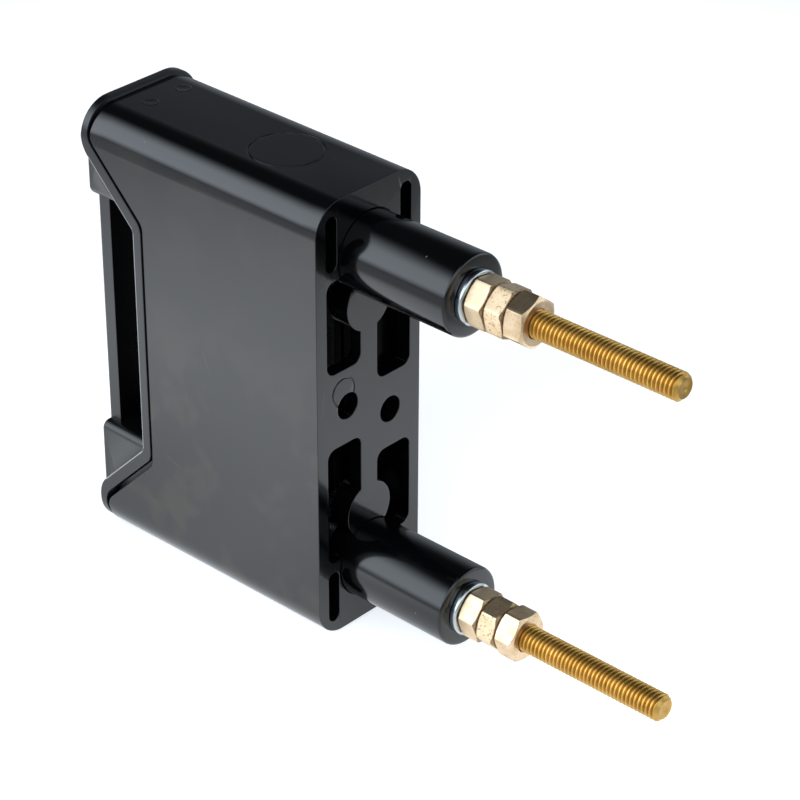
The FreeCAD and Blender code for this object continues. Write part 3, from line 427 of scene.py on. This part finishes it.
# %% Ceramic
def ceramic(name):
    """Off-white glazed ceramic with a few dark points."""
    graph, place = surface(name, 0.2 * MM, Coat_Weight=0.6, Coat_Roughness=0.08)
    cloud = graph.noise(place, 120.0, 3.0)
    dots = specks(graph, place, 500.0, 0.12, 0.06)
    colour = graph.blend(cloud, (0.84, 0.82, 0.76), (0.78, 0.75, 0.68))
    colour = graph.blend(dots * 0.7, colour, (0.25, 0.2, 0.15))
    finish(graph, colour, cloud * 0.15 + 0.25, graph.noise(place, 900.0, 2.0), 0.006 * MM)


ceramic("glazed_ceramic")
print("ceramic made")

# %% [markdown]
# ## Finishes on the CAD solids
# Most CAD solids already have the right shape and only need their finish. The end of a node's
# name says what it is made of, and the longest ending that fits is the one that counts.

# %% Dress the CAD nodes
FINISH_OF = {
    "base_moulding": "housing_black", "carrier_moulding": "carrier_black", "stud_shroud": "shroud_black",
    "_stud": "stud_brass", "lock_nut": "nut_brass", "terminal_nut": "nut_brass",
    "_washer": "zinc_plate", "captive_nut": "zinc_plate", "clamp_screw": "zinc_plate",
    "spring_washer": "spring_steel", "jaw_spring": "spring_steel", "blade_screw": "screw_brass",
    "contact_jaw": "tinned_copper", "contact_blade": "tinned_copper", "fuse_tag": "tinned_copper",
    "fuse_cap": "cap_brass", "fuse_barrel": "glazed_ceramic", "fuse_element": "silver",
}
for name, thing in nodes.items():
    ending = max((ending for ending in FINISH_OF if name.endswith(ending)), key=len)
    thing.data.materials.clear()
    thing.data.materials.append(SURFACES[FINISH_OF[ending]])
print("dressed", len(nodes), "nodes")

# %% [markdown]
# ## Turning shapes on a lathe
# Studs, washers and shrouds are round. A profile of (radius, place along the axis) swept round
# the stud's axis gives a mesh with just the points that it needs. The profile can carry small
# roundings that a CAD cylinder leaves out.

# %% Mesh helpers
def make_piece(name, points, faces, material, body, replaced=None, smooth=30.0):
    """Mesh object in the row frame that rides on a body and may stand for a CAD node."""
    mesh = bpy.data.meshes.new(name)
    mesh.from_pydata(points, [], faces)
    mesh.validate()
    mesh.shade_smooth()
    mesh.set_sharp_from_angle(angle=math.radians(smooth))
    mesh.materials.append(SURFACES[material])
    thing = bpy.data.objects.new(name, mesh)
    scene.collection.objects.link(thing)
    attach(thing, body)
    if replaced:
        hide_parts(replaced)
    print(name, len(points), "points")


def rounded_corner(corner, before, after, radius, steps=3):
    """Points of a small rounding at a corner of a profile."""
    corner, before, after = Vector(corner), Vector(before), Vector(after)
    to_before, to_after = (before - corner).normalized(), (after - corner).normalized()
    half = to_before.angle(to_after) / 2
    reach = radius / math.tan(half)
    centre = corner + (to_before + to_after).normalized() * (radius / math.sin(half))
    first = corner + to_before * reach - centre
    last = corner + to_after * reach - centre
    turn = first.angle_signed(last)
    points = []
    for step in range(steps + 1):
        spot = first.copy()
        spot.rotate(Matrix.Rotation(-turn * step / steps, 2))
        points.append(tuple(centre + spot))
    return points


def soften(profile):
    """Profile of (radius, along, rounding) corners as plain points, with the roundings drawn."""
    points = []
    count = len(profile)
    for number, corner in enumerate(profile):
        if len(corner) < 3 or corner[2] == 0:
            points.append(corner[:2])
            continue
        before = profile[number - 1][:2]
        after = profile[(number + 1) % count][:2]
        points.extend(rounded_corner(corner[:2], before, after, corner[2]))
    return points


def lathe(profile, up, sides):
    """Points and faces of a closed profile swept round the axis at height up, along +Y. In mm."""
    points, faces = [], []
    ring = len(profile)
    for side in range(sides):
        angle = 2 * math.pi * side / sides
        for radius, along in profile:
            points.append((radius * math.cos(angle) * MM, along * MM,
                           (up + radius * math.sin(angle)) * MM))
    for side in range(sides):
        here, there = side * ring, (side + 1) % sides * ring
        for number in range(ring):
            following = (number + 1) % ring
            faces.append((here + number, here + following, there + following, there + number))
    return points, faces


print("lathe ready")

# %% [markdown]
# ## Mouldings with rounded edges
# A mould never leaves an edge quite sharp. The CAD solids have sharp edges, so the housing and
# the carrier are shown by copies whose outer edges are rounded by a tenth of a millimetre; inner
# corners stay as they are. Flat parts are first joined to whole faces and those are split into
# convex ones, so that the bevel can't fold a face over an opening. Normals are weighted by face
# area afterwards, which keeps the flat parts flat.

# %% Rounded copies
WELD = 0.002 * MM
FLAT_WITHIN = math.radians(0.6)
SHARP_FROM = math.radians(32.0)
EDGE_ROUND = 0.12 * MM


def rounded_copy(name, body, material):
    """Copy of a CAD node's mesh with its outer edges rounded, which stands for the node."""
    shape = bmesh.new()
    shape.from_mesh(nodes[name].data)
    spans = [[point.co[axis] for point in shape.verts] for axis in range(3)]
    low, high = list(map(min, spans)), list(map(max, spans))
    bmesh.ops.remove_doubles(shape, verts=shape.verts, dist=WELD)
    bmesh.ops.dissolve_degenerate(shape, edges=shape.edges, dist=WELD)
    bmesh.ops.dissolve_limit(shape, angle_limit=FLAT_WITHIN, verts=shape.verts, edges=shape.edges)
    bmesh.ops.connect_verts_concave(shape, faces=shape.faces[:])
    sharp = [edge for edge in shape.edges
             if edge.is_manifold and edge.is_convex and edge.calc_face_angle() > SHARP_FROM]
    bmesh.ops.bevel(shape, geom=sharp, offset=EDGE_ROUND, offset_type="OFFSET", segments=2,
                    profile=0.5, affect="EDGES", clamp_overlap=False)
    for point in shape.verts:
        point.co = [min(max(value, least), most) for value, least, most in zip(point.co, low, high)]
    bmesh.ops.triangulate(shape, faces=[face for face in shape.faces if len(face.verts) > 4])
    mesh = bpy.data.meshes.new(name + "_rounded")
    shape.to_mesh(mesh)
    shape.free()
    mesh.shade_smooth()
    mesh.set_sharp_from_angle(angle=math.radians(40.0))
    mesh.materials.append(SURFACES[material])
    thing = bpy.data.objects.new(name + "_rounded", mesh)
    scene.collection.objects.link(thing)
    normals = thing.modifiers.new("flat_faces", "WEIGHTED_NORMAL")
    normals.keep_sharp = True
    normals.weight = 90
    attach(thing, body)
    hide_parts(name)
    print(thing.name, len(sharp), "edges rounded,", len(mesh.vertices), "points")


rounded_copy("base_moulding", "base", "housing_black")
rounded_copy("carrier_moulding", "carrier", "carrier_black")

# %% [markdown]
# ## Insulating shrouds
# Each stud passes through a black tube. Its outer end has a turned rounding that shows as a thin
# pale line, and its bore is just wider than the stud.

# %% Shrouds
ROUND_SIDES = 96
SHROUD_FOOT, SHROUD_END = -1.15, 28.4
SHROUD_BORE = 3.25
for end, up in STUD_UP.items():
    profile = soften([(SHROUD_BORE, SHROUD_FOOT), (8.95, SHROUD_FOOT),
                      (8.99, SHROUD_END, 0.7), (SHROUD_BORE, SHROUD_END, 0.25)])
    points, faces = lathe(profile, up, ROUND_SIDES)
    make_piece(end + "_shroud_tube", points, faces, "shroud_black", "base",
               end + "_stud_shroud", 35.0)

# %% [markdown]
# ## Washers
# The plain washers are stamped, which leaves one face with rounder edges than the other. That
# face looks outwards, and the bright plating catches the light on its rim.

# %% Washers
WASHER_FOOT, WASHER_TOP = 28.4, 30.0
WASHER_BORE, WASHER_RADIUS = 3.3, 5.95
for end, up in STUD_UP.items():
    profile = soften([(WASHER_BORE, WASHER_FOOT), (WASHER_RADIUS, WASHER_FOOT, 0.25),
                      (WASHER_RADIUS, WASHER_TOP, 0.45), (WASHER_BORE, WASHER_TOP, 0.2)])
    points, faces = lathe(profile, up, ROUND_SIDES)
    make_piece(end + "_plain_washer", points, faces, "zinc_plate", "base",
               end + "_washer", 35.0)

# %% [markdown]
# ## Threaded studs
# A real M6 thread climbs 1 mm for each turn. Points that follow the helix make every crest and
# root a clean line: with the turn's angle added to the place along the axis, one column of the
# grid is one trip up the thread's profile, and the last column joins the first one pitch on. The
# rolled thread starts inside the shroud and ends in a bevelled tip.

# %% Threads
PITCH = 1.0
CREST, ROOT = 2.985, 2.42
THREAD_PROFILE = [(0.00, CREST), (0.14, CREST), (0.43, ROOT), (0.57, ROOT), (0.86, CREST)]
THREAD_START, TIP = 27.2, 80.97
THREAD_COLUMNS = 36
SPARE_TURNS = 2
TIP_RADIUS, TIP_SLOPE = 2.15, 0.95
SHANK_RADIUS, SHANK_FOOT = 2.65, -7.1


def threaded_rod(up, columns):
    """Grid of points that follows the helix and is cut back by the cone at the tip. In mm."""
    rows_per_turn = len(THREAD_PROFILE)
    rows = (int(TIP - THREAD_START) + SPARE_TURNS + 1) * rows_per_turn
    points, faces = [], []
    for column in range(columns):
        angle = 2 * math.pi * column / columns
        for row in range(rows):
            share, radius = THREAD_PROFILE[row % rows_per_turn]
            turns = row // rows_per_turn + share + column / columns
            along = THREAD_START - SPARE_TURNS + PITCH * turns
            inside = min(max(along, THREAD_START), TIP)
            cone = TIP_RADIUS + (TIP - inside) / TIP_SLOPE
            radius = min(radius, cone) if along < TIP else TIP_RADIUS
            points.append((radius * math.cos(angle), inside, up + radius * math.sin(angle)))
    for column in range(columns):
        following = (column + 1) % columns
        shift = rows_per_turn if following == 0 else 0
        for row in range(rows - 1 - shift):
            here, there = column * rows + row, following * rows + row + shift
            faces.append((here, here + 1, there + 1, there))
    return points, faces


def add_rings(points, faces, up, rings, columns):
    """Rings of points from (radius, along) pairs, joined to each other."""
    start = len(points)
    for radius, along in rings:
        for column in range(columns):
            angle = 2 * math.pi * column / columns
            points.append((radius * math.cos(angle), along, up + radius * math.sin(angle)))
    for ring in range(len(rings) - 1):
        for column in range(columns):
            following = (column + 1) % columns
            low, high = start + ring * columns, start + (ring + 1) * columns
            faces.append((low + column, low + following, high + following, high + column))


def in_metres(points):
    """Millimetres to metres."""
    return [(x * MM, y * MM, z * MM) for x, y, z in points]


TIP_RINGS = [(TIP_RADIUS, TIP), (0.75, TIP), (0.62, TIP - 0.12), (0.0, TIP - 0.2)]
SHANK_RINGS = [(ROOT, THREAD_START), (SHANK_RADIUS, THREAD_START - 0.3), (SHANK_RADIUS, SHANK_FOOT)]
for end, up in STUD_UP.items():
    points, faces = threaded_rod(up, THREAD_COLUMNS)
    add_rings(points, faces, up, TIP_RINGS, THREAD_COLUMNS)
    add_rings(points, faces, up, SHANK_RINGS, THREAD_COLUMNS)
    make_piece(end + "_threaded_stud", in_metres(points), faces, "stud_brass", "base",
               end + "_stud", 50.0)

# %% [markdown]
# ## Stud heads
# Inside the housing each stud ends in a hexagonal head that clamps the contact's foot. Its
# corners are turned down at the front, like a bolt's.

# %% Hexagon with turned corners
CORNER_ROUND = 0.0875
COUNTERSINK = 0.35
RIM_SHARE = 0.93
CONE_SLOPE = math.tan(math.pi / 6)
STEPS = 6


def hexagon_outline(flat, turn):
    """(angle, radius) pairs round a hexagon whose corners are a little blunt."""
    limit = flat / math.cos(math.pi / 6) - CORNER_ROUND
    outline = []
    for side in range(6):
        for step in range(1 - STEPS, STEPS + 1):
            offset = math.atan(CONE_SLOPE * step / STEPS)
            reach = min(flat / math.cos(offset), limit)
            outline.append((turn + math.pi / 3 * side + offset, reach))
    return outline


def turned_hexagon(flats, bore, low, high, up, turn):
    """Nut or head: hexagon whose corners a 30 degree cone cuts off, with a bevelled bore. In mm."""
    outline = hexagon_outline(flats / 2, turn)
    rim = flats / 2 * RIM_SHARE
    bore_low = [(bore, low + COUNTERSINK), (bore + COUNTERSINK, low)] if bore else [(0.0, low)]
    bore_high = [(bore + COUNTERSINK, high), (bore, high - COUNTERSINK)] if bore else [(0.0, high)]
    rows = [[ring] * len(outline) for ring in bore_low + [(rim, low)]]
    rows.append([(reach, low + max(reach - rim, 0.0) * CONE_SLOPE) for _, reach in outline])
    rows.append([(reach, high - max(reach - rim, 0.0) * CONE_SLOPE) for _, reach in outline])
    rows.extend([ring] * len(outline) for ring in [(rim, high)] + bore_high)
    points, faces = [], []
    for row in rows:
        for (angle, _), (radius, along) in zip(outline, row):
            points.append((radius * math.cos(angle), along, up + radius * math.sin(angle)))
    count = len(outline)
    for row in range(len(rows) if bore else len(rows) - 1):
        here, there = row * count, (row + 1) % len(rows) * count
        for number in range(count):
            following = (number + 1) % count
            faces.append((here + number, there + number, there + following, here + following))
    return in_metres(points), faces


HEAD_FLATS = 10.0
HEAD_LOW, HEAD_HIGH = -11.1, -7.15
for end, up in STUD_UP.items():
    points, faces = turned_hexagon(HEAD_FLATS, 0, HEAD_LOW, HEAD_HIGH, up, math.pi / 6)
    make_piece(end + "_stud_head", points, faces, "stud_brass", "base", None, 20.0)

# %% [markdown]
# ## Nuts
# Three nuts sit on each stud. Someone tightened them by hand, so their corners don't line up.
# Each is a hexagon whose corners a cone has turned down on both faces, with a bevelled bore.

# %% Nuts
NUT_FLATS, NUT_BORE = 10.0, 2.9
NUT_START, NUT_HEIGHT = 30.0, 5.0
NUT_GAP = 0.02
NUT_TURN = {"upper": (40.0, 48.0, 8.0), "lower": (40.0, 17.5, 37.0)}
# The outer nuts take the painted darker copy of the brass.
NUTS = (("lock_nut", "nut_brass"), ("inner_terminal_nut", "nut_brass_spotted"),
        ("outer_terminal_nut", "nut_brass_browned"))
for end, up in STUD_UP.items():
    for number, (name, material) in enumerate(NUTS):
        low = NUT_START + NUT_HEIGHT * number + NUT_GAP
        turn = math.radians(NUT_TURN[end][number])
        high = low + NUT_HEIGHT - 2 * NUT_GAP
        points, faces = turned_hexagon(NUT_FLATS, NUT_BORE, low, high, up, turn)
        body = end + "_outer_nut" if name.startswith("outer") else "base"
        make_piece(end + "_" + name + "_turned", points, faces, material, body,
                   end + "_" + name, 18.0)

# %% [markdown]
# ## Floor
# A pale table that fills the picture, so bright that it looks plain white. A black gloss surface
# is a mirror, so what the plastic shows is this table. Its glow is painted light: it is brightest
# in a wide painted pool at the front right, with a dent where the housing's lower front corner
# looks, and in a smaller pool behind. A painted shadow dims it close to the object, and a painted
# dusky corner, darker in glow and in colour, is one that only the back of the housing mirrors.
# The glow also dims far from the holder. Distances from those places give the pattern. The far
# quarter of the table is a sheet of its own that isn't mirrored, because the photograph's far
# edges are dark.

# %% Floor
FLOOR_DROP = 0.0004
FLOOR_WHITE = ((0.61, 0.60, 0.59), (0.63, 0.62, 0.61))
# Colour of the painted dusky corner.
PAINTED_DUSK_GREY = (0.30, 0.30, 0.30)
HOLDER_MIDDLE = -33.0 * MM
FOOTPRINT = (15.6 * MM, 33.0 * MM, 1.0)
FRONT_POOL = (95, -90, 175)
FRONT_DENT = (30, -95, 65)
BEHIND_POOL = (-50, 42, 110)
FAR_GLOOM = (-90, -80, 420)


def pool(graph, place, x, y, reach):
    """Round pool of painted light on the table: 1 in its middle, 0 beyond its reach. In mm."""
    away = graph.vector("DISTANCE", place, (x * MM, y * MM, cad_box[0][2]), out=1)
    return 1 - graph.between(away, 0.0, reach * MM)


def painted_holder_shadow(graph, place):
    """Painted shadow: brightness that falls off towards the rectangle that the holder stands over."""
    beside = graph.vector("ABSOLUTE", graph.vector("ADD", place, (0.0, -HOLDER_MIDDLE, 0.0)))
    beside = graph.vector("MAXIMUM", graph.vector("SUBTRACT", beside, FOOTPRINT), (0.0, 0.0, 0.0))
    apart = graph.vector("LENGTH", beside, out=1)
    return 0.92 + graph.between(apart, 0.0, 55.0 * MM) * 0.08


def table_finish():
    """Pale material that glows in pools of painted light, with painted shade by the holder and in a
    dusky corner.
    """
    graph, place = surface("pale_table", 0.1 * MM)
    holder_shadow_factor = painted_holder_shadow(graph, place)
    far = 1 - pool(graph, place, *FAR_GLOOM)
    aside = graph.vector("DOT_PRODUCT", place, (-0.68, 0.73, 0.0), out=1)
    behind = graph.between(graph.axis(place, "y"), 104.0 * MM, 136.0 * MM)
    dusk = graph.between(aside, 134.0 * MM, 165.0 * MM) * behind
    # Painted light and shade in the glow: dimmer far away, a painted shadow by the holder and a painted
    # dusky corner.
    base = (0.22 - graph.between(far, 0.5, 1.0) * 0.18) * holder_shadow_factor * (1 - dusk * 0.6)
    # Painted pools of light, with a painted dent in the front one.
    pools = pool(graph, place, *FRONT_POOL) * 0.54 + pool(graph, place, *BEHIND_POOL) * 0.24
    pools = pools * holder_shadow_factor - pool(graph, place, *FRONT_DENT) * 0.26
    tint = graph.blend(graph.between(pools, 0.0, 0.3), (0.97, 1.0, 1.03), (0.95, 1.0, 1.06))
    graph.shader.inputs["Emission Strength"].default_value = 2.0
    graph.plug(graph.shader.inputs["Emission Color"], graph.blend(base + pools, (0.0, 0.0, 0.0), tint))
    white = graph.blend(graph.noise(place, 3.0, 2.0), *FLOOR_WHITE)
    # Painted shade in the colour too: the dusky corner is grey.
    finish(graph, graph.blend(dusk, white, PAINTED_DUSK_GREY), 0.7)


def make_sheet(name, corners, mirrored):
    """Flat piece of the table from its corners in metres, mirrored by gloss or not."""
    height = cad_box[0][2] - FLOOR_DROP
    mesh = bpy.data.meshes.new(name)
    mesh.from_pydata([(x, y, height) for x, y in corners], [], [tuple(range(len(corners)))])
    mesh.materials.append(SURFACES["pale_table"])
    sheet = bpy.data.objects.new(name, mesh)
    sheet.visible_glossy = mirrored
    scene.collection.objects.link(sheet)
    print(name, "at", round(height, 4))


FAR = 2.5
table_finish()
make_sheet("table", [(0, -FAR), (FAR, -FAR), (FAR, FAR), (-FAR, FAR), (-FAR, 0), (0, 0)], True)
make_sheet("table_behind", [(-FAR, -FAR), (0, -FAR), (0, 0), (-FAR, 0)], False)

# %% [markdown]
# ## Studio
# What the plastic mirrors above the table is drawn on the world as a function of direction: a
# dim wall, a large soft box at the right, a second one behind the camera, faint glows at the left
# and in front, a glow beyond the studs that only the flanks of the threads mirror, and a dark
# ceiling. Each is a soft-edged window in compass bearing and height, and all have a bluish light.

# %% World
STUDIO_LEVEL = 0.87
STUDIO_TINT = (0.90, 1.0, 1.10)
WALL_LEVEL, CEILING_LEVEL = 0.17, 0.035
# Middle and half width in degrees of bearing, low and high end in degrees of height, softness of
# the sides, the low end and the high end, and strength.
WINDOWS = {
    "right box": (60.0, 40.0, 4.0, 48.0, (18.0, 9.0, 16.0), 3.9),
    "left glow": (-105.0, 50.0, -20.0, 30.0, (25.0, 5.0, 20.0), 0.30),
    "back box": (142.0, 40.0, 15.0, 60.0, (14.0, 10.0, 14.0), 2.2),
    "front glow": (-45.0, 60.0, -5.0, 33.0, (25.0, 5.0, 10.0), 0.10),
    "rear glow": (222.0, 34.0, 0.0, 28.0, (12.0, 5.0, 10.0), 1.5),
}


def window(graph, bearing, height, middle, half_wide, low, high, edges, strength):
    """Soft-edged bright rectangle on the sky."""
    side_edge, low_edge, high_edge = edges
    turn = graph.maths("ABSOLUTE", bearing - middle)
    turn = graph.maths("MINIMUM", turn, 360.0 - turn)
    side = 1 - graph.between(turn, half_wide - side_edge, half_wide + side_edge)
    above = graph.between(height, low - low_edge, low + low_edge)
    below = 1 - graph.between(height, high - high_edge, high + high_edge)
    return side * above * below * strength


def make_studio():
    """World light: dim wall, dark ceiling and the windows."""
    world = bpy.data.worlds.new("studio")
    scene.world = world
    world.use_nodes = True
    graph = Graph(world.node_tree)
    direction = graph.node("TexCoord", out=0)
    x, y, z = (graph.axis(direction, name) for name in "xyz")
    height = graph.maths("ARCSINE", z) * (180 / math.pi)
    bearing = graph.maths("ARCTAN2", x, y * -1.0) * (180 / math.pi)
    total = (1 - graph.between(height, 10.0, 34.0)) * WALL_LEVEL + CEILING_LEVEL
    for shape in WINDOWS.values():
        total = total + window(graph, bearing, height, *shape)
    glow = graph.node("Background", {"Color": STUDIO_TINT, "Strength": total * STUDIO_LEVEL})
    output = world.node_tree.nodes.new("ShaderNodeOutputWorld")
    world.node_tree.links.new(glow.socket, output.inputs[0])


make_studio()
print("studio ready,", len(WINDOWS), "windows")

# %% [markdown]
# ## Lamps
# The world alone would light the table unevenly. One large soft lamp overhead evens it out, with
# almost no shadow. It is hidden from reflections, because the plastic would mirror it as a
# bright square that the photograph doesn't have.

# %% Lamps
def add_lamp(name, place, target, size, power):
    """Square soft lamp that shines from a place to a target and isn't mirrored."""
    lamp = bpy.data.lights.new(name, "AREA")
    lamp.shape = "SQUARE"
    lamp.size = size
    lamp.energy = power
    thing = bpy.data.objects.new(name, lamp)
    scene.collection.objects.link(thing)
    thing.location = place
    thing.rotation_euler = (Vector(target) - Vector(place)).to_track_quat("-Z", "Y").to_euler()
    thing.visible_glossy = False


add_lamp("overhead_lamp", (0.2, 0.1, 1.6), (0.0, 0.0, 0.0), 1.6, 11.0)
scene.view_settings.view_transform = "Standard"
scene.view_settings.look = "None"
print("lamps lit")
